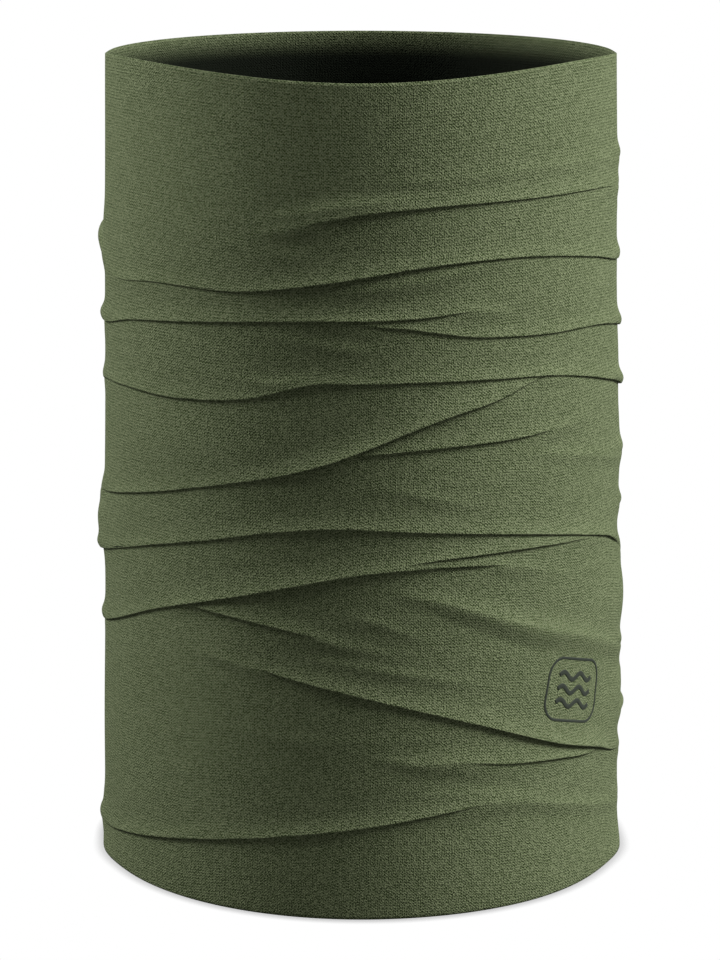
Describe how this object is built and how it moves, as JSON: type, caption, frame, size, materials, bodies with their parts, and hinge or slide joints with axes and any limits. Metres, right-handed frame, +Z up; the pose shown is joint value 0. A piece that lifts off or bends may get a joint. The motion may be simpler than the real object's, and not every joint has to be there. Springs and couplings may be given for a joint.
{
  "type": "neck gaiter",
  "caption": "Seamless knitted neck gaiter: a wide soft tube, open at both ends, standing up and pushed down into shallow folds, with a small printed emblem low on one side.",
  "frame": {"origin": "on the tube's axis, level with its lower edge", "axes": "+Z up along the tube's axis, from the lower edge to the upper one; -Y is the front, and the emblem is towards +X from it"},
  "size_m": [0.1609, 0.1603, 0.2417],
  "materials": {
    "knit_fabric": "matt olive green fine-gauge jersey knit with a faint soft sheen",
    "transfer_film": "thin matt dark green heat-transfer film"
  },
  "bodies": {
    "root": {"knit_tube": "knit_fabric", "transfer_frame": "transfer_film", "transfer_wave_lower": "transfer_film", "transfer_wave_middle": "transfer_film", "transfer_wave_upper": "transfer_film"}
  },
  "joints": []
}
